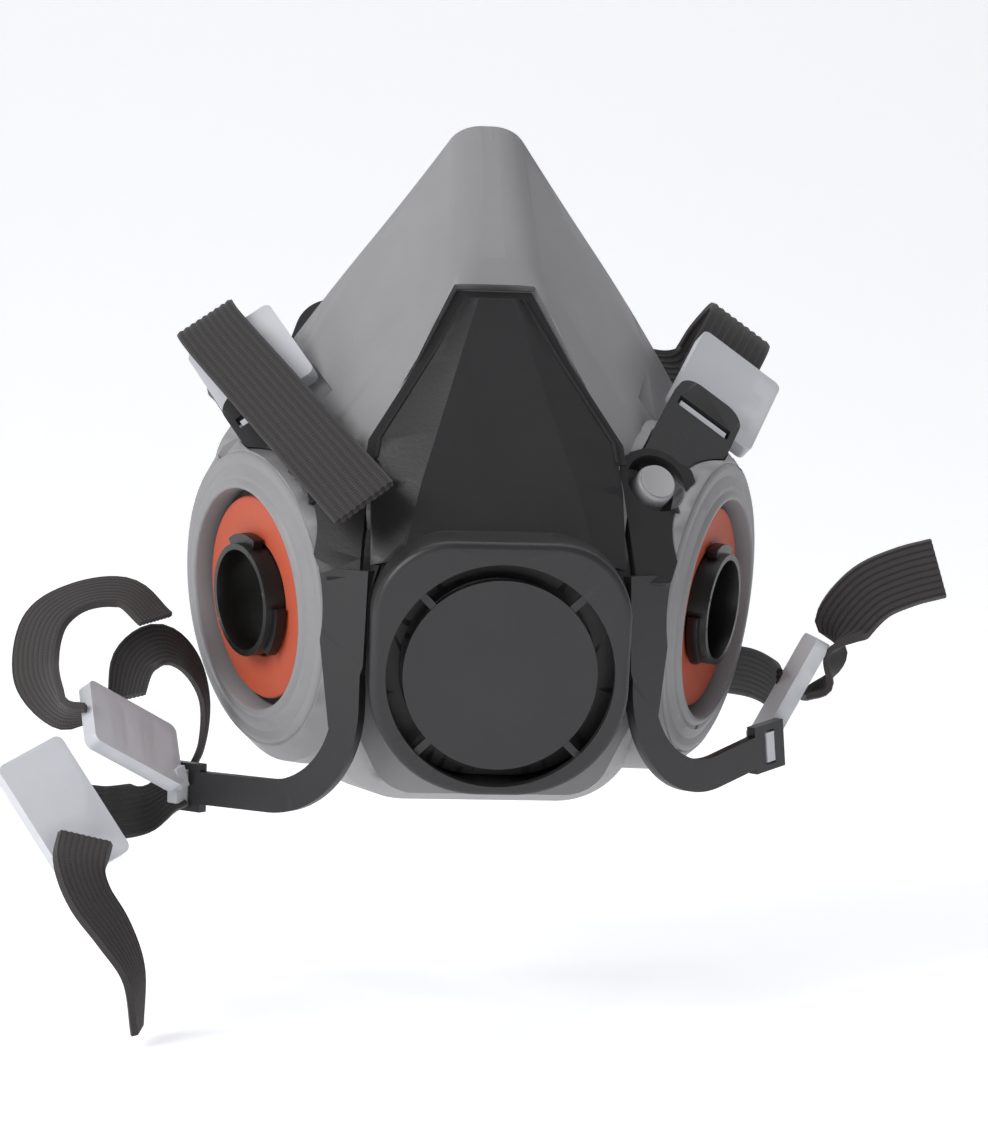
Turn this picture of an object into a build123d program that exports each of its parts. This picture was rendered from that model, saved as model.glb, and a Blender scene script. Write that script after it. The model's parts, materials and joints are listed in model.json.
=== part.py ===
from build123d import *
import os
from math import sin, cos, radians

# Half-mask respirator. Millimetres, +Z up, the wearer's face behind (+Y), the front towards -Y.
# The origin lies in the middle of the face seal, where the wearer's face holds the mask.

# ---- driving dimensions ----
FACE_RADIUS = 75.0          # cylinder that the sealing edge follows round the face
FACE_TILT = 8.2             # degrees the face line leans back towards the chin
FACE_FRONT = 8.6            # y of the face line at the origin's height
WALL = 2.2                  # elastomer wall of the facepiece
SKIN = 1.2                  # a stud plate sinks at most this far into that wall
SEAL_WIDTH = 12.0           # inward sealing lip
TOP_ROUND = 9.0             # rounding along the nose ridge
SIDE_ROUND = 16.0           # rounding along cheeks and jaw

PORT_CENTRE = Vector(46.5, -22.0, -20.3)
PORT_OUT = 64.0             # degrees the inlets turn outwards
PORT_DOWN = 6.0             # degrees the inlets turn down
RING_RADIUS = 33.0          # outer edge of a cheek ring
WELL_RADIUS = 22.0
WELL_DEPTH = 5.2
FLOOR_THICK = 2.0
FLOOR_HOLE = 15.0
RING_BACK = 22.0            # how far a cheek ring runs back into the cheek

TUBE_INNER = 10.0           # the round socket that a filter's spigot enters
TUBE_OUTER = 11.2
TUBE_FRONT = 1.9            # the inlet tube stands this far in front of the cheek ring
SOCKET_FLOOR = -5.3         # the socket ends here and the tube is a little wider behind it
TUBE_BACK = 12.0
TUBE_BACK_INNER = 10.4
LUG_RADIUS, LUG_LOW, LUG_HIGH = 13.0, -1.5, 0.6
FLANGE_TOP = -3.7
GASKET_INNER, GASKET_OUTER, GASKET_THICK = 11.6, 20.2, 1.6
SPIDER_TOP, SPIDER_THICK = -5.5, 1.5
STEM_RADIUS, STEM_KNOB, STEM_END = 1.0, 1.8, -15.4
INHALE_RADIUS, INHALE_THICK = 11.0, 0.5

VALVE_CENTRE = Vector(0.0, -62.0, -30.8)
VALVE_DOWN = 10.0           # degrees the exhalation cover looks down
COVER_WIDTH, COVER_DEPTH, COVER_WALL = 48.6, 8.6, 1.8
COVER_TOP, COVER_BOTTOM = 25.6, -23.4
COVER_TOP_CORNER, COVER_BOTTOM_CORNER = 15.0, 21.0
SLOT_OUTER, SLOT_INNER = 21.5, 18.3
SPOKE_WIDTH = 1.5
SEAT_RADIUS = 15.5
BARREL_RADIUS = 17.5
EXHALE_RADIUS, EXHALE_THICK, EXHALE_TRAVEL = 17.0, 0.6, 2.0

SHIELD_LEAN = 25.0          # degrees the nose shield leans back
SHIELD_FOOT = Vector(0.0, -53.5, -6.0)
SHIELD_RAISE = 3.5          # height of its middle facet above its rim
SHIELD_GAP = 2.2            # groove between the shield and the facepiece
SEAT_LEDGE = 0.6            # the groove starts this far under the shield's rim
GROOVE_DEPTH = 1.2          # depth of that groove below the shield's rim
FLANGE_REACH, FLANGE_THICK, FLANGE_FOOT = 1.7, 0.6, 18.0     # adapter's flange in the groove

YOKE_THICK = 2.0
STUD_CENTRE = Vector(31.5, -39.0, 5.1)
YOKE_ACROSS = Vector(0.821, 0.0, -0.571).normalized()
YOKE_NORMAL = Vector(0.4525, -0.6095, 0.651).normalized()
STUD_NORMAL = Vector(0.30, -0.80, 0.52).normalized()
ARM_ROOT = Vector(27.8, -53.0, 0.0)
ARM_ACROSS = Vector(0.752, 0.659, 0.0).normalized()
ARM_TAILS = {-1: (41.0, -57.2), 1: (40.0, -47.4)}   # end of each arm: along the arm, then height
ARM_WIDTH, ARM_BEND = 6.4, 19.0
PAD_LENGTH, PAD_HEIGHT = 9.0, 9.5
PAD_SLOT_LENGTH, PAD_SLOT_HEIGHT = 3.0, 6.8
TONGUE_SLOT_LENGTH, TONGUE_SLOT_WIDTH = 12.6, 3.2
TONGUE_SLOT_PLACE = (3.2, 28.6)
STUD_HOLE = 6.2
BOSS_WALL, BOSS_DEPTH = 1.5, 7.0
STUD_RADIUS, STUD_DIMPLE, STUD_TOP, STUD_FOOT = 4.0, 2.2, 0.4, 7.0
ARM_TOP = -12.0             # height where an arm ends behind its stud plate
RING_SEAT = 29.8            # a carrier lies on a cheek ring outside this radius
BAND_WIDTH, BAND_THICK = 15.0, 1.5
NECK_WIDTH, NECK_THICK = 10.0, 1.4
BUCKLE_THICK, BUCKLE_CORNER, BUCKLE_RAIL = 3.0, 1.6, 2.2
BUCKLE_LENGTH, BUCKLE_WIDTH, BUCKLE_LEAN = 24.0, 20.0, 5.0
BUCKLE_REACH = 4.5          # an upper buckle starts this far up from its hinge
BUCKLE_OFFSET = 2.5         # an upper buckle lies this far to one side of its hook
BAR_WIDTH = 5.0             # each bar of a ladder buckle
FRONT_SKIN = 1.0            # closed front of a ladder buckle, with its slots behind
BUCKLE_SWING = 8.0          # degrees an upper buckle swings back
HOOK_LENGTH, HOOK_HEIGHT, HOOK_DEPTH = 2.4, 6.0, 5.2     # block that sits in an arm's slot
HOOK_BAR_WIDTH = 5.0
ALIGN_LOW = (Align.CENTER, Align.CENTER, Align.MIN)
ALIGN_BACK = (Align.CENTER, Align.MIN, Align.MIN)
FIT = 0.3                   # clearance between neighbouring pieces

# ---- working frames ----
def port_plane(side):
    out, down = radians(PORT_OUT), radians(PORT_DOWN)
    normal = Vector(side * sin(out) * cos(down), -cos(out) * cos(down), -sin(down))
    centre = Vector(side * PORT_CENTRE.X, PORT_CENTRE.Y, PORT_CENTRE.Z)
    return Plane(centre, x_dir=(cos(out), side * sin(out), 0), z_dir=normal)


def valve_plane():
    lean = radians(VALVE_DOWN)
    return Plane(VALVE_CENTRE, x_dir=(1, 0, 0), z_dir=(0, -cos(lean), -sin(lean)))


def shield_plane(below=0.0):
    lean = radians(SHIELD_LEAN)
    normal = Vector(0, -cos(lean), sin(lean))
    return Plane(SHIELD_FOOT - normal * below, x_dir=(1, 0, 0), z_dir=normal)


def both_sides(half):
    """Close a half outline, given from its middle top down to its middle bottom."""
    return half + [(-x, y) for x, y in reversed(half)]


def cover_outline(inset=0.0):
    """The exhalation cover seen from the front: square shoulders above, nearly round below."""
    side = COVER_WIDTH / 2 - inset
    top, bottom = COVER_TOP - inset, COVER_BOTTOM + inset
    rounds = [COVER_TOP_CORNER - inset, COVER_BOTTOM_CORNER - inset]
    corners = [(side, top), (side, bottom), (-side, bottom), (-side, top)]
    return make_face(FilletPolyline(corners, radius=rounds + rounds[::-1], close=True))


def disc(radius, low, high, hole=0.0):
    """A round plate along Z, from low to high, with an optional hole."""
    plate = Pos(0, 0, low) * Cylinder(radius, high - low, align=(Align.CENTER, Align.CENTER, Align.MIN))
    if hole:
        plate -= Pos(0, 0, low - 1) * Cylinder(hole, high - low + 2, align=(Align.CENTER, Align.CENTER, Align.MIN))
    return plate


# ---- facepiece ----
# Each cross section, looking along Y: y, then ridge, cheek, jaw and chin corners of its right half.
SECTIONS = [
    (34.0, (4.6, 120.0), (54.0, 8.0), (53.5, -38.0), (30.0, -62.5)),
    (5.0, (4.6, 84.5), (49.0, 6.0), (50.0, -36.0), (26.0, -61.5)),
    (-26.0, (7.0, 48.0), (36.5, 5.5), (41.0, -32.0), (24.0, -59.0)),
    (-46.0, (21.0, 9.0), (26.5, -3.0), (29.5, -36.0), (20.0, -55.0)),
]
NOSE_EXTRA = 6.5            # more wall along the ridge, where the shield's groove is cut
FACE_FRONT_WALL = SECTIONS[-1][0]


def section_face(section, inset):
    y, ridge, cheek, jaw, chin = section
    drop = inset * 1.6 + (NOSE_EXTRA if inset else 0)
    half = [
        (max(ridge[0] - inset * 0.4, 3.0), ridge[1] - drop),
        (cheek[0] - inset, cheek[1] - inset * 0.5),
        (jaw[0] - inset, jaw[1] + inset * 0.3),
        (chin[0] - inset * 0.5, chin[1] + inset),
    ]
    side_round = (SIDE_ROUND if y > -40 else TOP_ROUND) - inset * 0.6
    ridge_round = min(TOP_ROUND - inset * 0.6, half[0][0] / 0.64)
    rounds = [ridge_round, side_round, side_round, side_round]
    face = make_face(FilletPolyline(both_sides(half), radius=rounds + rounds[::-1], close=True))
    return Plane((0, y, 0), x_dir=(1, 0, 0), z_dir=(0, -1, 0)) * face


def head_form(inset, sections=SECTIONS):
    """The facepiece as a solid block, taken in by the inset all round and at its front."""
    faces = [section_face(section, inset) for section in sections[:-1]]
    front = sections[-1]
    faces.append(section_face((front[0] + inset,) + front[1:], inset))
    return Solid.make_loft([face.face().outer_wire() for face in faces], ruled=True)


def face_cylinder(radius):
    """The wearer's face as a cylinder that leans back with the face line."""
    lean = radians(FACE_TILT)
    axis = Vector(0, -sin(lean), cos(lean))
    centre = Vector(0, FACE_FRONT + FACE_RADIUS, 0)
    plane = Plane(centre - axis * 150, x_dir=(1, 0, 0), z_dir=axis)
    return plane * Cylinder(radius, 300, align=(Align.CENTER, Align.CENTER, Align.MIN))


def cheek_ring_block():
    """A cheek ring as a solid, its half section given as radius and height in front of the lip."""
    outline = [(0, -RING_BACK), (36, -RING_BACK), (34, -8), (RING_RADIUS, -4.5), (29.5, -1.2),
               (28, -1.4), (24.6, 0), (0, 0)]
    return revolve(Plane.XZ * make_face(Polyline(outline, close=True)), Axis.Z)


def cheek_hollows():
    """The well in front of the floor, the hole in it and the hollow behind it."""
    well = disc(WELL_RADIUS, -WELL_DEPTH, 12)
    hole = disc(FLOOR_HOLE, -WELL_DEPTH - 6, 1)
    behind = disc(30, -27, -WELL_DEPTH - FLOOR_THICK)
    return well + hole + behind


def shield_outlines():
    rim = [(5.7, 52.4), (12.9, 39.2), (22.9, 22.0), (24.2, 12.0), (24.3, -4.0)]
    facet = [(3.4, 50.6), (7.4, 37.0), (11.6, 22.5), (14.7, 12.0), (18.5, -4.0)]
    return rim, facet


def shield_shape(grow):
    """The shield's rim outline, made wider at its sides and top."""
    rim, facet = shield_outlines()
    top = rim[0][1]
    outline = [(x + grow, y + (grow if y == top else 0)) for x, y in rim]
    return make_face(Polyline(both_sides(outline), close=True))


def shield_pocket():
    """The groove and seat that the nose shield lies in."""
    whole = shield_shape(SHIELD_GAP)
    groove = extrude(whole - shield_shape(-SEAT_LEDGE), -GROOVE_DEPTH)
    return shield_plane(SHIELD_RAISE) * (extrude(whole, 14) + groove)


def shield_flange():
    """Flange of the adapter that lies at the bottom of the groove, under the facepiece's lip."""
    seat = shield_shape(-SEAT_LEDGE)
    flange = extrude(shield_shape(FLANGE_REACH) - seat, FLANGE_THICK)
    flange += extrude(shield_shape(0.0) - seat, GROOVE_DEPTH + 0.5)
    flange = Pos(0, 0, -GROOVE_DEPTH) * flange
    upper = Pos(0, FLANGE_FOOT + 50, 0) * Box(200, 100, 20)
    return shield_plane(SHIELD_RAISE) * (flange & upper)


def make_face_seal():
    block = head_form(0.0)
    ring = cheek_ring_block()
    for side in (-1, 1):
        block += port_plane(side) * ring
    block -= head_form(WALL)
    hollows = cheek_hollows()
    for side in (-1, 1):
        block -= port_plane(side) * hollows
    block -= face_cylinder(FACE_RADIUS)
    lip = (face_cylinder(FACE_RADIUS + WALL) - face_cylinder(FACE_RADIUS)) & head_form(0.0)
    block += lip - head_form(SEAL_WIDTH, SECTIONS[:3])
    block -= shield_pocket()
    block -= valve_plane() * disc(BARREL_RADIUS + FIT, -30, -10)
    seat = valve_plane() * Pos(0, 0, -26) * extrude(cover_outline(0.7), 40)
    block -= seat - Pos(0, FACE_FRONT_WALL + 50, 0) * Box(200, 100, 200)
    for side in (-1, 1):
        block -= yoke_space(side)
    return block


# ---- front adapter and exhalation valve ----
def make_centre_adapter():
    rim, facet = shield_outlines()
    low = shield_plane(SHIELD_RAISE) * make_face(Polyline(both_sides(rim), close=True))
    high = shield_plane() * make_face(Polyline(both_sides(facet), close=True))
    shield = loft([low, high], ruled=True)
    base = valve_plane() * Pos(0, 0, -COVER_DEPTH) * extrude(cover_outline(1.0), -12)
    base -= Pos(0, FACE_FRONT_WALL + 50, 0) * Box(200, 100, 200)
    barrel = disc(BARREL_RADIUS, -COVER_DEPTH - 12, -COVER_DEPTH - 1)
    spigot = Pos(0, 0, -COVER_DEPTH) * (extrude(cover_outline(COVER_WALL + FIT), 1.4) - disc(18.6, -1, 3))
    frame = shield + shield_flange() + base + valve_plane() * (barrel + spigot)
    frame -= valve_plane() * disc(SEAT_RADIUS, -COVER_DEPTH - 14, -COVER_DEPTH + 4)
    spider = disc(3.0, -COVER_DEPTH - 2, -COVER_DEPTH)
    spider += disc(1.0, -COVER_DEPTH - 1, -COVER_DEPTH + 3.7)
    spider += disc(2.0, -COVER_DEPTH + EXHALE_THICK + EXHALE_TRAVEL + 0.1, -COVER_DEPTH + 3.7)
    for turn in (0, 90):
        bar = Box(2 * SEAT_RADIUS + 1, 1.8, 2.0, align=(Align.CENTER, Align.CENTER, Align.MAX))
        spider += Pos(0, 0, -COVER_DEPTH) * Rot(0, 0, turn) * bar
    return frame + valve_plane() * spider


def make_valve_cover():
    shell = extrude(cover_outline(), -COVER_DEPTH)
    shell = fillet(shell.edges().group_by(Axis.Z)[-1], 1.4)
    shell -= Pos(0, 0, -COVER_WALL) * extrude(cover_outline(COVER_WALL), -COVER_DEPTH)
    shell -= disc(SLOT_OUTER, -COVER_DEPTH + 2, 1)
    shell += disc(SLOT_INNER, -2.6, -0.8)
    for turn in (45, 135):
        spoke = Box(2 * SLOT_OUTER + 1, SPOKE_WIDTH, 1.4, align=(Align.CENTER, Align.CENTER, Align.MAX))
        shell += Pos(0, 0, -1.0) * Rot(0, 0, turn) * spoke
    return valve_plane() * shell


def make_exhalation_valve():
    return valve_plane() * disc(EXHALE_RADIUS, -COVER_DEPTH, -COVER_DEPTH + EXHALE_THICK, hole=1.3)


# ---- inlet ports ----
def make_port_body():
    """Bayonet tube with its flange, three lugs and the spider that holds the valve stem."""
    body = disc(TUBE_OUTER, -TUBE_BACK, TUBE_FRONT)
    body += disc(WELL_RADIUS - 0.5, -WELL_DEPTH, FLANGE_TOP)
    body += disc(FLOOR_HOLE - 0.2, -TUBE_BACK, FLANGE_TOP)
    lug_ring = disc(LUG_RADIUS, LUG_LOW, LUG_HIGH)
    wedge = Polyline((0, 0), (30, -14), (30, 14), close=True)
    wedge = extrude(make_face(wedge), 20, both=True)
    for turn in (90, 210, 330):
        body += lug_ring & (Rot(0, 0, turn) * wedge)
    body -= disc(TUBE_INNER, SOCKET_FLOOR - 1, TUBE_FRONT + 1)
    body -= disc(TUBE_BACK_INNER, -TUBE_BACK - 1, SOCKET_FLOOR)
    spider_foot = SPIDER_TOP - SPIDER_THICK
    body += disc(2.4, spider_foot, SPIDER_TOP)
    body += disc(STEM_RADIUS, STEM_END, SPIDER_TOP - 0.5)
    body += disc(STEM_KNOB, STEM_END, STEM_END + 1)
    for turn in (0, 120, 240):
        spoke = Box(TUBE_BACK_INNER + 0.3, 1.2, SPIDER_THICK, align=(Align.MIN, Align.CENTER, Align.MIN))
        body += Rot(0, 0, turn) * Pos(0, 0, spider_foot) * spoke
    return body


def make_gasket():
    ring = disc(GASKET_OUTER, FLANGE_TOP, FLANGE_TOP + GASKET_THICK, hole=GASKET_INNER)
    return fillet(ring.edges().group_by(Axis.Z)[-1], 0.5)


def make_retainer():
    back = -WELL_DEPTH - FLOOR_THICK
    ring = disc(22, back - 2, back, hole=FLOOR_HOLE)
    for turn in range(0, 360, 60):
        ring += Rot(0, 0, turn) * Pos(18.5, 0, back - 3) * Box(5, 2, 2)
    return ring


def make_inhalation_valve():
    return disc(INHALE_RADIUS, -TUBE_BACK - INHALE_THICK, -TUBE_BACK, hole=1.4)


# ---- harness carriers ----
def yoke_plane():
    return Plane(STUD_CENTRE, x_dir=YOKE_ACROSS, z_dir=YOKE_NORMAL)


def arm_plane():
    return Plane(ARM_ROOT, x_dir=ARM_ACROSS, z_dir=ARM_ACROSS.cross(Vector(0, 0, 1)))


def stud_plane():
    """The plate round the stud faces forward and leans down to the front of the arm."""
    return Plane(STUD_CENTRE, x_dir=(-STUD_NORMAL.Y, STUD_NORMAL.X, 0), z_dir=STUD_NORMAL)


def tongue_outline():
    outline = [(-4.2, 37.5), (11.0, 37.5), (10.8, 24.0), (8.6, 5.0), (8.2, -3.5), (-5.4, -3.5), (-4.9, 12.0)]
    rounds = [4.5, 4.5, 20, 12, 1, 1, 12]
    return make_face(FilletPolyline(outline, radius=rounds, close=True))


def stud_plate_outline():
    outline = [(-7.7, 2.0), (-8.3, -8.2), (-9.2, -17.6), (-9.8, -21.7), (-2.4, -21.7), (-0.2, -17.9),
               (4.1, -10.1), (9.0, -2.1), (8.6, 3.0), (2.0, 7.4), (-4.0, 7.0)]
    return make_face(FilletPolyline(outline, radius=1.2, close=True)) + Circle(STUD_HOLE + BOSS_WALL)


def arm_outline(side, width):
    """The curved arm on its plane, wider at its root where it meets the tongue plate."""
    spine = FilletPolyline([(0.3, -2.0), (1.0, -56.5), ARM_TAILS[side]], radius=ARM_BEND)
    half = width / 2
    root = [(-half - 1.2, 0), (half + 5, 0), (half + 4.4, -24), (half + 1.6, -42), (half, -46), (-half, -30)]
    return trace(spine, width) + make_face(Polyline(root, close=True))


def arm_pad(side, length, height):
    along, level = ARM_TAILS[side]
    turn = 8 if side > 0 else 0
    return Pos(along, level) * Rot(0, 0, turn) * Rectangle(length, height)


def yoke_half(side):
    """One harness carrier as if it were the right one: slotted tongue, stud plate and curved arm."""
    tongue = tongue_outline()
    tongue -= Pos(*TONGUE_SLOT_PLACE) * Rectangle(TONGUE_SLOT_LENGTH, TONGUE_SLOT_WIDTH)
    arm = arm_outline(side, ARM_WIDTH)
    arm += arm_pad(side, PAD_LENGTH, PAD_HEIGHT)
    arm -= arm_pad(side, PAD_SLOT_LENGTH, PAD_SLOT_HEIGHT)
    arm_plate = arm_plane() * extrude(arm, -YOKE_THICK) - above(ARM_TOP)
    boss = disc(STUD_HOLE + BOSS_WALL, -BOSS_DEPTH, 0)
    carrier = yoke_plane() * extrude(tongue, -YOKE_THICK)
    carrier += stud_plane() * (extrude(stud_plate_outline(), -YOKE_THICK) + boss) - head_form(SKIN)
    carrier += arm_plate
    carrier -= stud_plane() * disc(STUD_HOLE, -BOSS_DEPTH - 8, 8)
    carrier -= ring_space(RING_SEAT)
    carrier -= valve_plane() * Pos(0, 0, -26) * extrude(cover_outline(-0.5), 50)
    rim, facet = shield_outlines()
    grown = [(x + FIT, y) for x, y in rim]
    carrier -= shield_plane(SHIELD_RAISE) * extrude(make_face(Polyline(both_sides(grown), close=True)), 12)
    return max(carrier.solids(), key=lambda solid: solid.volume)


def above(height):
    return Pos(0, 0, height + 50) * Box(300, 300, 100)


def ring_space(radius):
    """The room a cheek ring takes from a carrier."""
    return port_plane(1) * disc(radius, -40, 5)


def yoke_space(side):
    """The recess that a carrier needs in the soft facepiece."""
    deep = -YOKE_THICK - 0.1
    tongue = offset(tongue_outline(), FIT)
    plate = offset(stud_plate_outline(), FIT)
    arm = arm_outline(side, ARM_WIDTH + 2 * FIT)
    space = yoke_plane() * (extrude(tongue, deep) + extrude(tongue, 7))
    boss = disc(STUD_HOLE + BOSS_WALL + FIT, -BOSS_DEPTH - 0.1, 5)
    space += stud_plane() * (extrude(plate, deep) + extrude(plate, 7) + boss) - head_form(SKIN)
    space += arm_plane() * (extrude(arm, deep) + extrude(arm, 5)) - above(ARM_TOP + 1)
    space -= ring_space(RING_SEAT - FIT)
    space += stud_plane() * disc(STUD_HOLE, -BOSS_DEPTH - 0.1, 5) - head_form(SKIN)
    space += buckle_space()
    return on_side(space, side)


def buckle_space():
    """The room an upper buckle swings in."""
    width = BUCKLE_WIDTH + 2 * BUCKLE_OFFSET + 1.2
    room = Pos(0, -2.5, -BUCKLE_THICK - 1.5) * Box(width, 40, 12, align=ALIGN_BACK)
    return buckle_plane() * (room + Rot(-BUCKLE_SWING, 0, 0) * room)


def on_side(shape, side):
    return shape if side > 0 else mirror(shape, about=Plane.YZ)


def make_stud():
    """Press stud: a domed head in the carrier's round hole, on a foot that sits in the facepiece."""
    head = disc(STUD_RADIUS, -STUD_FOOT, STUD_TOP)
    head = fillet(head.edges().group_by(Axis.Z)[-1], 0.8)
    head -= disc(STUD_DIMPLE, STUD_TOP - 0.4, STUD_TOP + 1)
    return stud_plane() * head - head_form(SKIN)


# ---- buckles ----
def ladder_buckle(length, width, thick, slots=2):
    """Flat buckle, centred on its plate, with a closed front and slots across its back."""
    plate = extrude(RectangleRounded(length, width, BUCKLE_CORNER), thick)
    pitch = length / (slots + 1)
    for step in range(slots):
        place = (step - (slots - 1) / 2) * pitch
        plate -= Pos(place, 0, -1) * extrude(Rectangle(pitch - BAR_WIDTH, width - 2 * BUCKLE_RAIL), thick + 2)
    return plate + Pos(0, 0, thick - FRONT_SKIN) * extrude(RectangleRounded(length, width, BUCKLE_CORNER), FRONT_SKIN)


def buckle_plane():
    """The upper buckle's frame: its origin on the slot bar that it hinges on, leaning forward."""
    hinge = yoke_plane() * Pos(TONGUE_SLOT_PLACE[0], TONGUE_SLOT_PLACE[1], -YOKE_THICK - 0.5)
    return hinge * Rot(BUCKLE_LEAN, 0, 0)


def make_upper_buckle(side):
    """Ladder buckle on a flat hook whose lug stands in the tongue's slot."""
    plate = Rot(0, 0, 90) * ladder_buckle(BUCKLE_LENGTH, BUCKLE_WIDTH, BUCKLE_THICK)
    plate = Pos(side * BUCKLE_OFFSET, BUCKLE_LENGTH / 2 + BUCKLE_REACH, -BUCKLE_THICK - 0.9) * plate
    hook = Pos(0, -1.1, -BUCKLE_THICK - 0.9) * Box(11.4, BUCKLE_REACH + 2, BUCKLE_THICK, align=ALIGN_BACK)
    lug = Pos(0, 0, -1.5) * Box(11.4, 1.6, 3.6, align=ALIGN_LOW)
    return buckle_plane() * (plate + hook + lug)


def lower_buckle(centre, along, across, length, width):
    plane = Plane(centre, x_dir=along, z_dir=Vector(*along).cross(Vector(*across)))
    return plane * Pos(0, 0, -BUCKLE_THICK / 2) * ladder_buckle(length, width, BUCKLE_THICK)


def slot_hook(side, reach, outwards, across):
    """Hook that sits in the slot of an arm and runs to a buckle beside it, as if on the right."""
    along, level = ARM_TAILS[side]
    middle = -YOKE_THICK / 2
    turn = 8 if side > 0 else 0
    shift = outwards * (HOOK_DEPTH / 2 - HOOK_LENGTH / 2)
    block = Pos(along, level, middle + shift) * Rot(0, 0, turn) * Box(HOOK_LENGTH, HOOK_HEIGHT, HOOK_DEPTH)
    start = arm_plane().from_local_coords(Vector(along, level, middle + 2 * shift))
    return arm_plane() * block + flat_run(start, reach, across, HOOK_BAR_WIDTH, HOOK_LENGTH)


# ---- webbing ----
def ribbon(plane, points, width, thick, radius):
    """Flat webbing: a path of straight runs and arcs in the plane, as wide as the webbing across it."""
    path = FilletPolyline(points, radius=radius)
    return plane * extrude(trace(path, thick), width / 2, both=True)


def upright(y):
    return Plane((0, y, 0), x_dir=(1, 0, 0), z_dir=(0, -1, 0))


def flat_run(start, end, across, width, thick):
    """A straight stretch of webbing between two points in space."""
    start, end, across = Vector(start), Vector(end), Vector(across)
    along = end - start
    plane = Plane(start, x_dir=along.normalized(), z_dir=along.cross(across).normalized())
    return plane * Box(along.length, width, thick, align=(Align.MIN, Align.CENTER, Align.CENTER))


# ---- the assembly ----
def write(name, shape):
    solids = shape.solids()
    shape = solids[0] if len(solids) == 1 else Compound(children=list(solids))
    shape.label = name
    export_step(shape, f"parts/{name}.step")
    print(f"{name:24s} {shape.volume:10.1f} mm3  {len(solids)} solid(s)")


os.makedirs("parts", exist_ok=True)
write("face_seal", make_face_seal())
write("centre_adapter", make_centre_adapter())
write("valve_cover", make_valve_cover())
write("exhalation_valve", make_exhalation_valve())

port_pieces = {
    "port_body": make_port_body(),
    "port_gasket": make_gasket(),
    "port_retainer": make_retainer(),
    "inhalation_valve": make_inhalation_valve(),
}
for side, word in ((-1, "left"), (1, "right")):
    for name, piece in port_pieces.items():
        write(f"{word}_{name}", port_plane(side) * piece)
    write(f"{word}_yoke", on_side(yoke_half(side), side))
    write(f"{word}_harness_stud", on_side(make_stud(), side))
    write(f"{word}_upper_buckle", on_side(make_upper_buckle(side), side))


# ---- neck harness ----
LOOP_LEAN = 50.0            # degrees the adjuster's loop leans back, clear of a filter in the left inlet
LOOP_RISE = 1 / cos(radians(LOOP_LEAN))


def leaning(y, z):
    """A plane through y and z that leans back above them."""
    lean = radians(LOOP_LEAN)
    return Plane((0, y, z), x_dir=(1, 0, 0), z_dir=(0, -cos(lean), sin(lean)))


loop_route = [(-79.0, 0.0), (-84.5, 1.0), (-88.0, 11.0), (-84.0, 19.0), (-72.0, 22.0), (-63.5, 17.0)]
loop_route = [(x, rise * LOOP_RISE) for x, rise in loop_route]
write("left_neck_strap", ribbon(leaning(-34.0, -42.0), loop_route, NECK_WIDTH, NECK_THICK, 5.0))

NECK_ROUTES = {
    # name: (y of the webbing's middle, bend radius, route of x and z)
    "left_neck_loop": (-14.5, 4.5, [(-57.5, -56.0), (-52.4, -50.5), (-51.8, -41.5), (-55.5, -33.5),
                                    (-62.0, -30.0), (-68.5, -33.0), (-70.5, -41.5)]),
    "left_neck_tail": (-59.0, 8.0, [(-79.0, -60.5), (-77.6, -70.0), (-72.0, -78.5), (-66.8, -87.5),
                                    (-66.0, -99.0)]),
    "right_neck_tail": (-17.0, 4.0, [(66.5, -38.0), (73.2, -36.0), (72.4, -24.0), (79.0, -16.5),
                                     (93.0, -11.8)]),
}
for name, (depth, bend, route) in NECK_ROUTES.items():
    write(name, ribbon(upright(depth), route, NECK_WIDTH, NECK_THICK, bend))

adjuster = lower_buckle((-68.7, -31.5, -46.8), (-0.70, -0.56, 0.45), (0.12, -0.71, -0.69), 24, 15)
write("left_neck_adjuster", adjuster + on_side(slot_hook(-1, (60.9, -27.9, -53.2), 1, ARM_ACROSS), -1))
write("left_neck_clasp", lower_buckle((-81.2, -46.0, -59.4), (0.55, -0.20, -0.81), (0.75, 0.54, 0.375), 26, 15))
clasp = lower_buckle((63.2, -15.0, -37.7), (0.47, 0.0, 0.883), (0.0, 1.0, 0.0), 25, 14)
write("right_neck_clasp", clasp + slot_hook(1, (58.2, -20.5, -46.8), -1, (0, 0, 1)))
write("left_clasp_strap", flat_run((-64.6, -25.0, -61.4), (-76.0, -38.5, -60.5), (0.5, 0.4, 0.8), 8, NECK_THICK))
write("right_neck_strap", flat_run((63.6, -4.0, -37.0), (58.2, 36.0, -38.0), (0, 0, 1), NECK_WIDTH, NECK_THICK))

# ---- crown harness ----
# Webbing routes across the buckle: distance up the buckle, then outwards from its slot bar.
RIGHT_FOLD = [(18.0, -5.5), (37.0, -5.2), (42.5, -9.0), (40.0, -16.0)]
LEFT_FOLD = [(15.7, -6.6), (30.0, -6.4), (33.5, -2.4), (30.3, 2.6), (21.7, 3.2)]
TAIL_END = Vector(26.0, -58.5, 0.8)
TAIL_WIDTH = 13.0
BAND_START = (38.0, -23.0)
CRADLE_Y = 50.0
CRADLE_TOP, CRADLE_FOOT = 40.0, -8.0


def strap_plane():
    """The plane across the buckle's bars: x up the buckle, y outwards."""
    frame = Plane(buckle_plane())
    return Plane(frame.origin, x_dir=frame.y_dir, z_dir=frame.x_dir)


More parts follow.
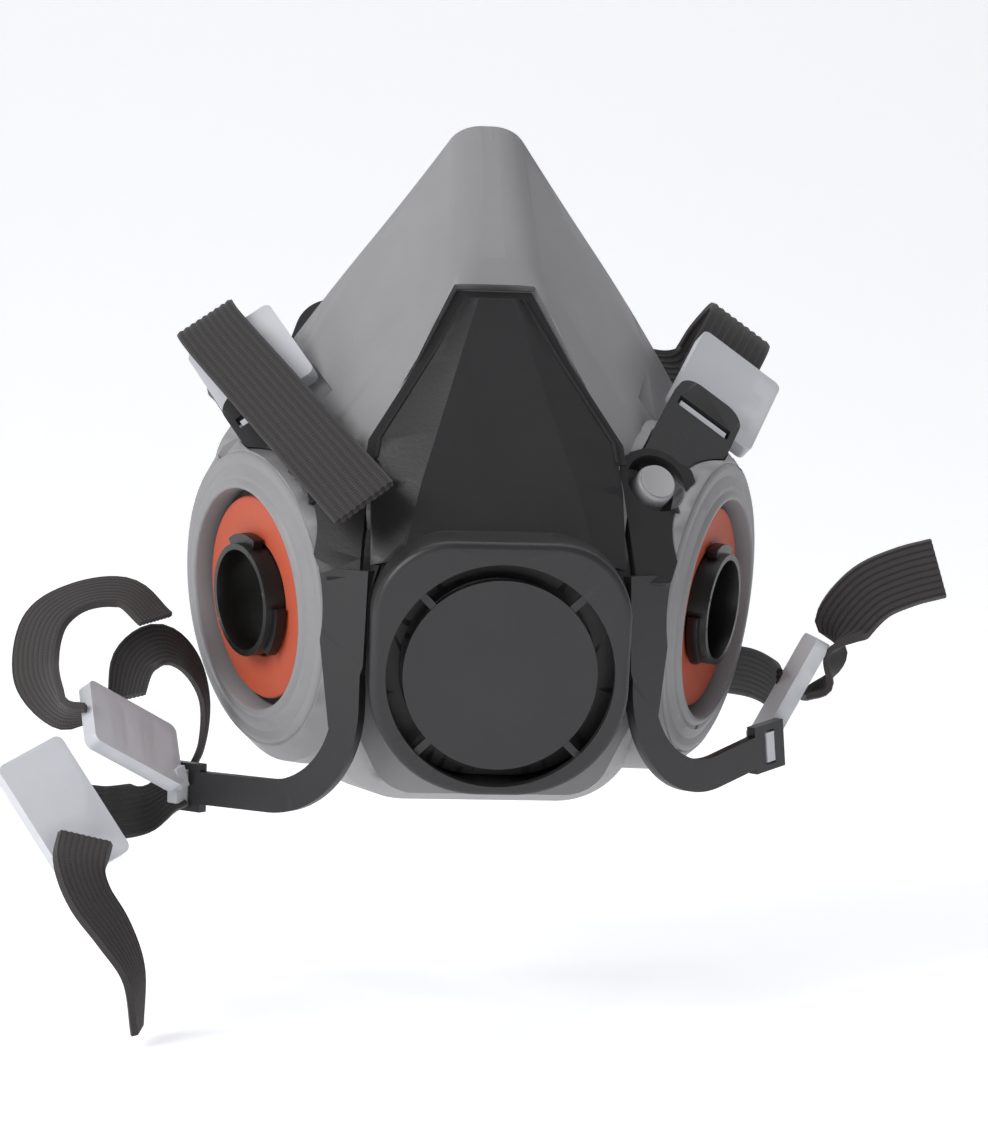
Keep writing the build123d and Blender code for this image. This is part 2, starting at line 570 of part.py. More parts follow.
def make_crown_strap(side):
    if side > 0:
        return ribbon(strap_plane(), RIGHT_FOLD, BAND_WIDTH, BAND_THICK, 2.6)
    fold = ribbon(strap_plane(), LEFT_FOLD, TAIL_WIDTH, BAND_THICK, 3.0)
    start = strap_plane().from_local_coords(Vector(22.7, 3.2, 0))
    across = Plane(buckle_plane()).x_dir
    return fold + flat_run(start, TAIL_END, across, TAIL_WIDTH, BAND_THICK)


def make_crown_band():
    start = Plane(buckle_plane()).from_local_coords(Vector(0, *BAND_START))
    end = Vector(27.0, CRADLE_Y + 3, 27.0)
    band = flat_run(start, end, YOKE_ACROSS, BAND_WIDTH, BAND_THICK)
    return band - Pos(0, CRADLE_Y + 49.9, 0) * Box(300, 100, 300)


def make_crown_cradle():
    """Open web of soft plastic that lies on the crown of the head."""
    half = [(34.0, CRADLE_TOP), (44.0, 12.0), (38.0, CRADLE_FOOT)]
    web = make_face(FilletPolyline(both_sides(half), radius=8, close=True))
    window = [(22.0, 18.0), (30.0, 10.0), (25.0, 1.0)]
    web -= make_face(FilletPolyline(both_sides(window), radius=4, close=True))
    return upright(CRADLE_Y) * extrude(web, -2.0)


for side, word in ((-1, "left"), (1, "right")):
    write(f"{word}_crown_strap", on_side(make_crown_strap(side), side))
    write(f"{word}_crown_band", on_side(make_crown_band(), side))
write("crown_cradle", make_crown_cradle())
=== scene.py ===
# %% [markdown]
# # A half-mask respirator, dressed for the studio
# The real object is a soft moulded facepiece with hard plastic carriers, round inlets on the
# cheeks, an exhalation cover in front and an elastic harness. The hard pieces already have their
# true shape, so this lesson keeps them, rounds their edges and gives them finishes. The webbing
# is cloth, so it is laid again here as ribbed ribbons.

import bpy
from math import cos, pi, radians, sin
from mathutils import Matrix, Vector
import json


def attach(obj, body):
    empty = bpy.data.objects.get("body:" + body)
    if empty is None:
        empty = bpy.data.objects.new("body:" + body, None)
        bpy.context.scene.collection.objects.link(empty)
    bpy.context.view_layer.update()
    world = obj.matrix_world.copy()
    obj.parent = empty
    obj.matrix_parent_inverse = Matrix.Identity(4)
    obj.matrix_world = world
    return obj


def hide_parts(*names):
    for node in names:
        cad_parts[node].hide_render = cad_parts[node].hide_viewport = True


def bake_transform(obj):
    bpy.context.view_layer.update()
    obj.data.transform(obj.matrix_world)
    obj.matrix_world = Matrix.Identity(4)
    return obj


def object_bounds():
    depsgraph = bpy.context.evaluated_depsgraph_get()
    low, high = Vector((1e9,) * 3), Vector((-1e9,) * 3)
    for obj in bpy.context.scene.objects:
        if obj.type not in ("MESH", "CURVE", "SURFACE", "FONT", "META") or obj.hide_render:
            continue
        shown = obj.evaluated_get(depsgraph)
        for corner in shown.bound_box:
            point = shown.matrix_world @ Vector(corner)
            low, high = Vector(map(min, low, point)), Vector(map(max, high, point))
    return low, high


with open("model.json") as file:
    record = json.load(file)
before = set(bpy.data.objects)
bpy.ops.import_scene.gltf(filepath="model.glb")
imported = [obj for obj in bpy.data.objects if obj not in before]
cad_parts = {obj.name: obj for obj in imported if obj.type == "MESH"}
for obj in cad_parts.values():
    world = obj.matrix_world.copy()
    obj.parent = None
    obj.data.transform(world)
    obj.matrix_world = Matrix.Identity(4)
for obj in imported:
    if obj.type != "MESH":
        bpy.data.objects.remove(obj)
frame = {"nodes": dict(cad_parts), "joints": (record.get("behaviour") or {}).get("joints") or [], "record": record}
bpy.ops.object.select_all(action="DESELECT")
cad_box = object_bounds()
nodes = frame["nodes"]
hinges = {joint["name"]: joint for joint in frame["joints"]}
MM = 0.001

# %% [markdown]
# ## The camera
# A long lens a little to the wearer's left and above the valve shows both cheeks at once. The
# distance is short enough that the front cover looks nearer than the nose, so it is kept as a
# value of its own. The lens is a fixed ratio times the sensor width.

# %% Place the camera
CAMERA_DISTANCE = 0.650
CAMERA_TARGET = Vector((4.015, -1.435, -15.437)) * MM
CAMERA_AROUND, CAMERA_ABOVE, CAMERA_LEAN = radians(-5.5), radians(4.0), radians(1.6)
LENS_TO_HEIGHT = 3170 / 1144

towards_camera = Vector((
    sin(CAMERA_AROUND) * cos(CAMERA_ABOVE),
    -cos(CAMERA_AROUND) * cos(CAMERA_ABOVE),
    sin(CAMERA_ABOVE),
))
camera_data = bpy.data.cameras.new("studio_camera")
camera = bpy.data.objects.new("studio_camera", camera_data)
bpy.context.scene.collection.objects.link(camera)
camera_data.lens = LENS_TO_HEIGHT * camera_data.sensor_width
camera_data.clip_start, camera_data.clip_end = 0.01, 20.0
aim = (-towards_camera).to_track_quat("-Z", "Y").to_matrix().to_4x4()
camera.matrix_world = (
    Matrix.Translation(CAMERA_TARGET + towards_camera * CAMERA_DISTANCE)
    @ aim
    @ Matrix.Rotation(CAMERA_LEAN, 4, "Z")
)
bpy.context.scene.camera = camera
print("lens", round(camera_data.lens, 1), "mm")

# %% [markdown]
# ## The studio
# Product light is large and soft. One broad lamp stands to the left of the mask, a weaker one to
# the right keeps the far cheek readable, and one overhead draws the nose ridge. The floor is pale
# paper just below the lowest strap end. It glows a little, so that it stays nearly white behind
# the mask.

# %% Light the floor and the mask
bpy.context.scene.view_settings.view_transform = "Standard"
world = bpy.data.worlds.new("studio_air")
world.use_nodes = True
world.node_tree.nodes["Background"].inputs["Color"].default_value = (0.96, 0.97, 1.0, 1.0)
world.node_tree.nodes["Background"].inputs["Strength"].default_value = 0.28
bpy.context.scene.world = world

LAMPS = {
    # name: place, size and watts
    "left_softbox": ((-0.80, -0.60, 0.50), 0.60, 8.5),
    "right_softbox": ((0.85, -0.60, 0.30), 0.60, 0.3),
    "overhead_softbox": ((0.05, 0.10, 0.95), 0.70, 2.2),
}
for name, (place, size, watts) in LAMPS.items():
    lamp = bpy.data.lights.new(name, "AREA")
    lamp.size, lamp.energy = size, watts
    lamp_object = bpy.data.objects.new(name, lamp)
    bpy.context.scene.collection.objects.link(lamp_object)
    lamp_object.location = place
    lamp_object.rotation_euler = (-Vector(place)).to_track_quat("-Z", "Y").to_euler()

# The floor is a sheet that curves up into a wall behind, all in metres.
FLOOR_DROP, FLOOR_SIZE, FLOOR_FORWARD, WALL_RISE, CURVE_RADIUS = 0.002, 6.0, 1.2, 4.0, 1.2
floor_place = (0, -FLOOR_FORWARD, cad_box[0].z - FLOOR_DROP)
bpy.ops.mesh.primitive_plane_add(size=FLOOR_SIZE, location=floor_place)
floor = bpy.context.object
floor.name = "studio_floor"
bpy.ops.object.mode_set(mode="EDIT")
bpy.ops.mesh.select_all(action="DESELECT")
bpy.ops.object.mode_set(mode="OBJECT")
for edge in floor.data.edges:
    edge.select = all(floor.data.vertices[v].co.y > 0 for v in edge.vertices)
bpy.ops.object.mode_set(mode="EDIT")
bpy.ops.mesh.select_mode(type="EDGE")
bpy.ops.mesh.extrude_region_move(TRANSFORM_OT_translate={"value": (0, 0, WALL_RISE)})
bpy.ops.object.mode_set(mode="OBJECT")
corner = floor.modifiers.new("curve", "BEVEL")
corner.width, corner.segments = CURVE_RADIUS, 24
bpy.ops.object.modifier_apply(modifier="curve")
bpy.ops.object.shade_smooth()
print("lamps", len(LAMPS), "floor at", round(floor.location.z / MM, 1), "mm")

# %% [markdown]
# ## Effects that several finishes share
# Moulded plastic and rubber are never one even tone. Two things are shared by all of them: a fine
# grain, which breaks up the shine, and a slow mottle, which lightens the colour where hands and
# moulds leave it paler. Each is a node group, built once, with its own named inputs.

# %% Build the fine grain group
def new_group(name, inputs, outputs):
    group = bpy.data.node_groups.new(name, "ShaderNodeTree")
    for label, kind, value in inputs:
        socket = group.interface.new_socket(label, in_out="INPUT", socket_type=kind)
        socket.default_value = value
    for label, kind in outputs:
        group.interface.new_socket(label, in_out="OUTPUT", socket_type=kind)
    return group, group.nodes.new("NodeGroupInput"), group.nodes.new("NodeGroupOutput")


def noise_on_piece(group, scale_socket, detail):
    place = group.nodes.new("ShaderNodeTexCoord")
    noise = group.nodes.new("ShaderNodeTexNoise")
    noise.inputs["Detail"].default_value = detail
    group.links.new(place.outputs["Object"], noise.inputs["Vector"])
    group.links.new(scale_socket, noise.inputs["Scale"])
    return noise.outputs["Fac"]


FLOAT, COLOUR = "NodeSocketFloat", "NodeSocketColor"
grain_group, grain_in, grain_out = new_group(
    "fine_grain",
    [("Scale", FLOAT, 1500.0), ("Smoothest", FLOAT, 0.4), ("Roughest", FLOAT, 0.6)],
    [("Roughness", FLOAT), ("Height", FLOAT)],
)
grain = noise_on_piece(grain_group, grain_in.outputs["Scale"], 3.0)
spread = grain_group.nodes.new("ShaderNodeMapRange")
grain_group.links.new(grain, spread.inputs["Value"])
grain_group.links.new(grain_in.outputs["Smoothest"], spread.inputs["To Min"])
grain_group.links.new(grain_in.outputs["Roughest"], spread.inputs["To Max"])
grain_group.links.new(spread.outputs["Result"], grain_out.inputs["Roughness"])
grain_group.links.new(grain, grain_out.inputs["Height"])
print("group", grain_group.name)

# %% Build the mottle group
mottle_group, mottle_in, mottle_out = new_group(
    "soft_mottle",
    [("Scale", FLOAT, 60.0), ("Deep", COLOUR, (0.1, 0.1, 0.1, 1)), ("Pale", COLOUR, (0.2, 0.2, 0.2, 1))],
    [("Colour", COLOUR)],
)
cloud = noise_on_piece(mottle_group, mottle_in.outputs["Scale"], 5.0)
blend_tones = mottle_group.nodes.new("ShaderNodeMix")
blend_tones.data_type = "RGBA"
mottle_group.links.new(cloud, blend_tones.inputs[0])
mottle_group.links.new(mottle_in.outputs["Deep"], blend_tones.inputs[6])
mottle_group.links.new(mottle_in.outputs["Pale"], blend_tones.inputs[7])
mottle_group.links.new(blend_tones.outputs[2], mottle_out.inputs["Colour"])
print("group", mottle_group.name)

# %% [markdown]
# ## The woven elastic
# Harness elastic is knitted over rubber threads that run along it, so it has ribs along its length
# and fine picks across. The ribs are real folds in the ribbon's mesh. The picks are too small for
# that, so they come from a wave along the ribbon's own UV map and only lift the surface. The rib
# wave also colours the ribbon, with painted shade in the valleys and a painted highlight on the crests.

# %% Build the weave group
# The two colour inputs are painted shade in the rib valleys and a painted highlight on the rib crests.
weave_group, weave_in, weave_out = new_group(
    "elastic_weave",
    [("Ribs", FLOAT, 9.0), ("Picks", FLOAT, 160.0), ("Painted valley shade", COLOUR, (0.02, 0.02, 0.02, 1)),
     ("Painted crest highlight", COLOUR, (0.08, 0.07, 0.07, 1))],
    [("Colour", COLOUR), ("Height", FLOAT)],
)


def wave_along(axis, count_socket):
    """A smooth ripple from 0 to 1 along one axis of the ribbon's UV map."""
    uv = weave_group.nodes.new("ShaderNodeUVMap")
    split = weave_group.nodes.new("ShaderNodeSeparateXYZ")
    weave_group.links.new(uv.outputs["UV"], split.inputs[0])
    last = split.outputs[axis]
    for step, amount in (("MULTIPLY", count_socket), ("MULTIPLY", 2 * pi), ("COSINE", None)):
        maths = weave_group.nodes.new("ShaderNodeMath")
        maths.operation = step
        weave_group.links.new(last, maths.inputs[0])
        if isinstance(amount, float):
            maths.inputs[1].default_value = amount
        elif amount is not None:
            weave_group.links.new(amount, maths.inputs[1])
        last = maths.outputs[0]
    lift = weave_group.nodes.new("ShaderNodeMapRange")
    lift.inputs["From Min"].default_value = -1.0
    weave_group.links.new(last, lift.inputs["Value"])
    return lift.outputs["Result"]


ribs = wave_along("X", weave_in.outputs["Ribs"])
picks = wave_along("Y", weave_in.outputs["Picks"])
# Painted shade and highlight: the rib wave picks the dark valley colour or the pale crest colour.
painted_rib_shade = weave_group.nodes.new("ShaderNodeMix")
painted_rib_shade.data_type = "RGBA"
weave_group.links.new(ribs, painted_rib_shade.inputs[0])
weave_group.links.new(weave_in.outputs["Painted valley shade"], painted_rib_shade.inputs[6])
weave_group.links.new(weave_in.outputs["Painted crest highlight"], painted_rib_shade.inputs[7])
weave_group.links.new(painted_rib_shade.outputs[2], weave_out.inputs["Colour"])
weave_group.links.new(picks, weave_out.inputs["Height"])
print("group", weave_group.name)

# %% [markdown]
# ## Finishes
# Every moulded finish is the same recipe with its own values: two tones for the mottle, how shiny
# the grain leaves it, and how deep the grain stands. One function keeps them alike, and a table
# holds what differs.

# %% Mix the moulded finishes
def new_material(name):
    material = bpy.data.materials.new(name)
    material.use_nodes = True
    return material, material.node_tree, material.node_tree.nodes["Principled BSDF"]


def place_group(tree, group, values):
    placed = tree.nodes.new("ShaderNodeGroup")
    placed.node_tree = group
    for label, value in values.items():
        placed.inputs[label].default_value = value
    return placed


def raise_surface(tree, shader, height, depth):
    bump = tree.nodes.new("ShaderNodeBump")
    bump.inputs["Distance"].default_value = depth
    bump.inputs["Strength"].default_value = 0.5
    tree.links.new(height, bump.inputs["Height"])
    tree.links.new(bump.outputs["Normal"], shader.inputs["Normal"])


def moulded(name, deep, pale, shine, grain_scale=1500.0, depth=0.00006, mottle=60.0):
    material, tree, shader = new_material(name)
    tones = place_group(tree, mottle_group, {"Scale": mottle, "Deep": (*deep, 1), "Pale": (*pale, 1)})
    fine = place_group(tree, grain_group, {"Scale": grain_scale, "Smoothest": shine[0], "Roughest": shine[1]})
    tree.links.new(tones.outputs["Colour"], shader.inputs["Base Color"])
    tree.links.new(fine.outputs["Roughness"], shader.inputs["Roughness"])
    raise_surface(tree, shader, fine.outputs["Height"], depth)
    return material


MOULDED = {
    # slot: deep tone, pale tone, smoothest and roughest
    "seal_rubber": ((0.225, 0.222, 0.228), (0.280, 0.276, 0.284), (0.42, 0.58)),
    "dark_plastic": ((0.014, 0.014, 0.015), (0.022, 0.022, 0.023), (0.34, 0.50)),
    "port_plastic": ((0.004, 0.003, 0.003), (0.008, 0.007, 0.006), (0.30, 0.44)),
    "gasket_rubber": ((0.430, 0.070, 0.030), (0.540, 0.100, 0.048), (0.50, 0.66)),
    "silicone": ((0.560, 0.560, 0.540), (0.660, 0.660, 0.640), (0.25, 0.40)),
    "stud_plastic": ((0.330, 0.325, 0.335), (0.420, 0.415, 0.425), (0.28, 0.40)),
    "cradle_plastic": ((0.030, 0.030, 0.032), (0.044, 0.044, 0.046), (0.45, 0.60)),
}
finishes = {slot: moulded(slot, *values) for slot, values in MOULDED.items()}
print("moulded finishes", len(finishes))

# %% [markdown]
# The buckles are unpigmented polypropylene. Light goes into it and comes out milky, so the shader
# lets some light through and keeps a pale body colour.

# %% Mix the translucent buckle plastic
clear = moulded("clear_plastic", (0.70, 0.71, 0.75), (0.82, 0.83, 0.87), (0.30, 0.42))
clear_shader = clear.node_tree.nodes["Principled BSDF"]
clear_shader.inputs["Transmission Weight"].default_value = 0.30
clear_shader.inputs["IOR"].default_value = 1.49
finishes["clear_plastic"] = clear
print("buckle plastic lets through", clear_shader.inputs["Transmission Weight"].default_value)

# %% Mix the elastic
RIBS_ACROSS = 9
elastic, elastic_tree, elastic_shader = new_material("elastic")
# The valley colour is painted shade between the ribs, and the crest colour is a painted highlight.
weave = place_group(elastic_tree, weave_group, {
    "Ribs": float(RIBS_ACROSS), "Picks": 140.0,
    "Painted valley shade": (0.012, 0.010, 0.010, 1), "Painted crest highlight": (0.042, 0.036, 0.036, 1),
})
elastic_tree.links.new(weave.outputs["Colour"], elastic_shader.inputs["Base Color"])
elastic_shader.inputs["Roughness"].default_value = 0.85
elastic_shader.inputs["Sheen Weight"].default_value = 0.15
raise_surface(elastic_tree, elastic_shader, weave.outputs["Height"], 0.00012)
finishes["elastic"] = elastic

floor_finish, floor_tree, floor_shader = new_material("floor_paper")
floor_shader.inputs["Base Color"].default_value = (0.86, 0.86, 0.87, 1)
floor_shader.inputs["Roughness"].default_value = 0.9
floor_shader.inputs["Emission Color"].default_value = (0.97, 0.98, 1.0, 1)
floor_shader.inputs["Emission Strength"].default_value = 0.46
floor.data.materials.append(floor_finish)
print("finishes", sorted(finishes))

# %% [markdown]
# ## Dress the moulded pieces
# A mould leaves no knife edges. The hard pieces keep their shape and get a narrow rounded edge
# from a bevel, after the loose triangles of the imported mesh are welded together. The facepiece is
# one soft casting, so even its shallow creases get a wider rounding.

# %% Give each node its finish and its edges
EDGE_ROUND = {"dark_plastic": 0.35, "port_plastic": 0.25, "clear_plastic": 0.45, "gasket_rubber": 0.2,
              "stud_plastic": 0.2, "cradle_plastic": 0.4, "silicone": 0.0}
WELD_REACH = 0.00001


def weld(piece):
    joined = piece.modifiers.new("weld", "WELD")
    joined.merge_threshold = WELD_REACH


def round_edges(piece, width):
    weld(piece)
    bevel = piece.modifiers.new("round_edges", "BEVEL")
    bevel.width, bevel.segments = width * MM, 2
    bevel.limit_method, bevel.angle_limit = "ANGLE", radians(50)
    bevel.harden_normals = False


slot_of = {part["node"]: part["material_slot"] for part in frame["record"]["subparts"]}
for name, piece in nodes.items():
    slot = slot_of[name]
    for place in range(len(piece.material_slots)):
        piece.material_slots[place].material = finishes[slot]
    if EDGE_ROUND.get(slot, 0) > 0:
        round_edges(piece, EDGE_ROUND[slot])
print("dressed", len(nodes), "nodes")

# %% Cast the facepiece
facepiece = nodes["face_seal"]
weld(facepiece)
melt = facepiece.modifiers.new("melt", "BEVEL")
MELT_WIDTH, MELT_ANGLE = 0.7, 18
melt.width, melt.segments = MELT_WIDTH * MM, 3
melt.limit_method, melt.angle_limit = "ANGLE", radians(MELT_ANGLE)
print("facepiece edges melted by", MELT_WIDTH, "mm")

# %% [markdown]
# ## Lay a ribbon
# A strap is a long flat strip. It starts as a grid, as wide as the webbing and as long as its
# route, then each cross row is carried to its place on the route and turned across it. The rows
# are slightly corrugated, which makes the ribs, and a solidify gives the strip its thickness. The
# grid keeps its UV map, so the weave follows the strip round every bend.

# %% Follow a route
def smooth_through(points, per_span=12):
    """Points on a Catmull-Rom curve through the given ones."""
    padded = [points[0] * 2 - points[1], *points, points[-1] * 2 - points[-2]]
    curve = []
    for a, b, c, d in zip(padded, padded[1:], padded[2:], padded[3:]):
        for step in range(per_span):
            t = step / per_span
            curve.append(0.5 * (2 * b + (c - a) * t + (2 * a - 5 * b + 4 * c - d) * t**2
                                + (3 * b - a - 3 * c + d) * t**3))
    return curve + [points[-1]]


def even_rows(curve, sides, spacing):
    """The curve and its cross directions again, at even steps along its length."""
    reach = [0.0]
    for a, b in zip(curve, curve[1:]):
        reach.append(reach[-1] + (b - a).length)
    count = max(int(reach[-1] / spacing), 4)
    rows, place = [], 0
    for step in range(count + 1):
        want = reach[-1] * step / count
        while place < len(curve) - 2 and reach[place + 1] < want:
            place += 1
        share = (want - reach[place]) / (reach[place + 1] - reach[place])
        rows.append((curve[place].lerp(curve[place + 1], share), sides[place].lerp(sides[place + 1], share)))
    return rows, reach[-1]


ROW = 1.2
print("a strap's row is", ROW, "mm long")

# %% Make a strap
RIB_DEPTH = 0.16
VERTICES_PER_RIB = 4


def lay_strap(name, route, across, width, thick=1.2):
    """Ribbon along a route in millimetres; across gives its width's direction at each point."""
    points = [Vector(p) for p in route]
    curve = smooth_through(points)
    sides = smooth_through([Vector(a).normalized() for a in across])
    rows, length = even_rows(curve, sides, ROW)
    columns = RIBS_ACROSS * VERTICES_PER_RIB
    bpy.ops.object.select_all(action="DESELECT")
    bpy.ops.mesh.primitive_grid_add(x_subdivisions=columns, y_subdivisions=len(rows) - 1, size=1.0)
    strap = bpy.context.object
    strap.name = strap.data.name = name
    for vertex in strap.data.vertices:
        u, v = vertex.co.x + 0.5, vertex.co.y + 0.5
        row = round(v * (len(rows) - 1))
        middle, side = rows[row]
        ahead = rows[min(row + 1, len(rows) - 1)][0] - rows[max(row - 1, 0)][0]
        ahead.normalize()
        side = (side - ahead * side.dot(ahead)).normalized()
        rib = RIB_DEPTH * cos(2 * pi * RIBS_ACROSS * u)
        vertex.co = (middle + side * width * (u - 0.5) + ahead.cross(side) * rib) * MM
    body = strap.modifiers.new("thickness", "SOLIDIFY")
    body.thickness, body.offset = thick * MM, 0.0
    bpy.ops.object.modifier_apply(modifier="thickness")
    bpy.ops.object.shade_smooth_by_angle(angle=radians(50))
    strap.data.materials.append(elastic)
    print(name, "is", round(width, 1), "x", round(length, 1), "mm,", len(strap.data.polygons), "faces")
    return strap, (width * MM, length * MM)


# %% [markdown]
# ## The neck straps
# The neck webbing hangs loose at both sides: a loop from the adjuster, a loop behind it, a short
# strap to the clasp and free tails. Each lies round a centre and turns partly towards the front,
# like the wall of a shallow cone, so its cross direction is part outwards and part front to back.

# %% Lay the neck straps
def cone_across(route, centre, facing):
    """Cross directions that lean outwards from a centre; facing is how much at each point."""
    hub = Vector((centre[0], 0, centre[1]))
    leaning = []
    for point, lean in zip(route, facing):
        outwards = (Vector((point[0], 0, point[2])) - hub).normalized()
        leaning.append(outwards * lean + Vector((0, 1, 0)) * (1 - lean))
    return leaning


ADJUSTER_LOOP = [(-76.5, -35.5, -42.0), (-82.5, -33.5, -41.5), (-87.5, -27.5, -35.0), (-86.5, -19.5, -26.0),
                 (-80.0, -15.5, -21.2), (-70.8, -14.8, -20.2), (-64.5, -18.5, -25.0)]
ARM_LOOP = [(-58.0, -16.5, -57.0), (-55.0, -13.0, -50.5), (-54.6, -12.0, -41.5), (-57.8, -12.0, -34.0),
            (-63.2, -13.0, -30.6), (-68.2, -16.0, -33.5), (-70.0, -20.5, -40.5)]
CLASP_TAIL = [(-76.5, -52.0, -63.5), (-77.2, -57.0, -68.0), (-75.2, -59.0, -73.5), (-70.8, -59.0, -80.0),
              (-66.9, -59.0, -88.0), (-66.0, -59.0, -98.5)]
RIGHT_TAIL = [(66.0, -17.0, -38.5), (70.6, -17.0, -35.6), (72.6, -17.0, -29.5), (73.6, -17.0, -23.4),
              (79.0, -17.0, -17.0), (86.0, -17.0, -13.6), (93.0, -17.0, -11.6)]
CLASP_STRAP = [(-60.4, -24.2, -58.6), (-66.0, -27.5, -61.2), (-72.0, -34.5, -61.4), (-76.5, -40.0, -60.4)]
RIGHT_BACK = [(62.6, -9.0, -38.5), (63.2, 2.0, -37.6), (61.8, 18.0, -37.2), (58.2, 36.0, -38.0)]

# x and z of the middle of each loop, and how much its band faces outwards at each point
ADJUSTER_HUB, ADJUSTER_FACING = (-74, -33), (0.3, 0.45, 0.6, 0.5, 0.35, 0.35, 0.35)
ARM_HUB, ARM_FACING = (-61, -44), (0.1, 0.05, 0.08, 0.3, 0.5, 0.5, 0.4)

NECK_STRAPS = {
    # name: route, cross directions, width, body, CAD node
    "adjuster_loop": (ADJUSTER_LOOP, cone_across(ADJUSTER_LOOP, ADJUSTER_HUB, ADJUSTER_FACING),
                      10, "left_neck_adjuster", "left_neck_strap"),
    "arm_loop": (ARM_LOOP, cone_across(ARM_LOOP, ARM_HUB, ARM_FACING),
                 10, "left_neck_adjuster", "left_neck_loop"),
    "clasp_tail": (CLASP_TAIL, [(0.75, 0.54, 0.30), (0.7, 0.6, 0.3), (0.6, 0.7, 0.35), (0.5, 0.8, 0.3),
                                (0.3, 0.95, 0.1), (0.1, 1.0, 0.0)], 10, "left_neck_clasp", "left_neck_tail"),
    "right_tail": (RIGHT_TAIL, [(0.1, 1.0, -0.1), (0.2, 1.0, 0.2), (0.5, 0.8, 0.2), (-0.6, 0.5, 0.6),
                                (-0.4, 0.3, 0.9), (-0.3, 0.2, 0.95), (-0.2, 0.2, 1.0)],
                   12, "right_neck_clasp", "right_neck_tail"),
    "clasp_strap": (CLASP_STRAP, [(0.35, 0.75, 0.55)] * 4, 10, "left_neck_clasp", "left_clasp_strap"),
    "right_back_strap": (RIGHT_BACK, [(0, 0, 1)] * 4, 10, "right_neck_clasp", "right_neck_strap"),
}
for name, (route, across, width, body, node) in NECK_STRAPS.items():
    strap, flat = lay_strap(name, route, across, width)
    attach(strap, body)
    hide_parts(node)

# %% [markdown]
# ## The crown straps
# The upper webbing comes from the crown cradle, passes an upper buckle and folds over it. On the
# left its long tail lies forward over the carrier; on the right it is a short fold. The buckle
# hinges on the carrier, so the band behind it bends between the buckle and the cradle.

# %% Lay the crown straps
BUCKLE_UP = Vector((0.3861, 0.7369, 0.5548))
BUCKLE_OUT = Vector((0.4204, -0.6763, 0.6049))
BUCKLE_ACROSS = Vector((0.8211, 0.0, -0.5708))
CRADLE_END = Vector((27.0, 49.0, 27.0))
CROWN_WIDTH = 15
BAND_SAG = Vector((0, 0, 0.6))
# up the buckle from its hinge, then outwards, in millimetres
RIGHT_FOLD = [(18, -5.4), (28, -5.2), (40.0, -4.8), (45.6, -8.0), (45.6, -15.0)]
RIGHT_BAND_START = (41.5, -22.0)
LEFT_START = [(14, -8.6), (26, -13.5)]
LEFT_BAND_START = (38.0, -21.5)


def mirrored(vector, side):
    return Vector((vector.x * side, vector.y, vector.z))


def by_buckle(side, up, out):
    """Point beside an upper buckle: millimetres up from its hinge, then outwards."""
    name = "right_buckle_hinge" if side > 0 else "left_buckle_hinge"
    hinge = Vector(hinges[name]["pos_m"]) / MM
    return hinge + mirrored(BUCKLE_UP * up + BUCKLE_OUT * out, side)


def crown_band(side, start):
    """Route of the band from beside the buckle to the cradle, sagging a little."""
    end = mirrored(CRADLE_END, side)
    return [start, start.lerp(end, 0.33) - BAND_SAG, start.lerp(end, 0.66) - BAND_SAG, end]


CROWN_WEBBING = {
    # side: word, route beside the buckle, where the band starts, CAD nodes
    1: ("right", RIGHT_FOLD, RIGHT_BAND_START, ("right_crown_strap", "right_crown_band")),
    -1: ("left", LEFT_START, LEFT_BAND_START, ("left_crown_band",)),
}
for side, (word, beside, band_start, covered) in CROWN_WEBBING.items():
    route = [by_buckle(side, *p) for p in beside] + crown_band(side, by_buckle(side, *band_start))
    across = [mirrored(BUCKLE_ACROSS, side)] * len(route)
    strap, flat = lay_strap(f"{word}_crown_webbing", route, across, CROWN_WIDTH)
    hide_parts(*covered)
    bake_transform(strap)

# %% Lay the long tail
TAIL_END = Vector((-26.0, -58.5, 0.8))
TAIL_WIDTH = 13
LEFT_FOLD = [(15.5, -6.4), (28, -6.4), (33.2, -3.4), (32.2, 1.4), (25, 3.3)]
tail_route = [by_buckle(-1, *p) for p in LEFT_FOLD]
tail_start = tail_route[-1]
tail_route += [tail_start.lerp(TAIL_END, share) for share in (0.33, 0.66, 1.0)]
tail_across = [mirrored(BUCKLE_ACROSS, -1)] * len(tail_route)
tail, flat = lay_strap("left_crown_tail", tail_route, tail_across, TAIL_WIDTH)
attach(tail, "left_upper_buckle")
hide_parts("left_crown_strap")

# %% [markdown]
# ## The stud's button
# Each carrier is held by a press stud whose head is a flat button with a darker dimple. The button
# is a short cylinder: its top is inset, the inner face is pushed down, and its rim is bevelled.

# %% Press the buttons
STUD_CENTRE = Vector((31.5, -39.0, 5.1))
STUD_AXIS = Vector((0.30, -0.80, 0.52)).normalized()
STUD_TOP = 0.4
BUTTON_RADIUS, BUTTON_HEIGHT, BUTTON_RIM, BUTTON_DIP = 3.5, 0.7, 1.3, 0.35
BUTTON_SUNK, BUTTON_EDGE = 0.1, 0.15


def settle(piece):
    """Puts a piece's place into its mesh, so that its object sits at the origin."""
    bpy.ops.object.select_all(action="DESELECT")
    piece.select_set(True)
    bpy.context.view_layer.objects.active = piece
    bpy.ops.object.transform_apply(location=True, rotation=True, scale=True)


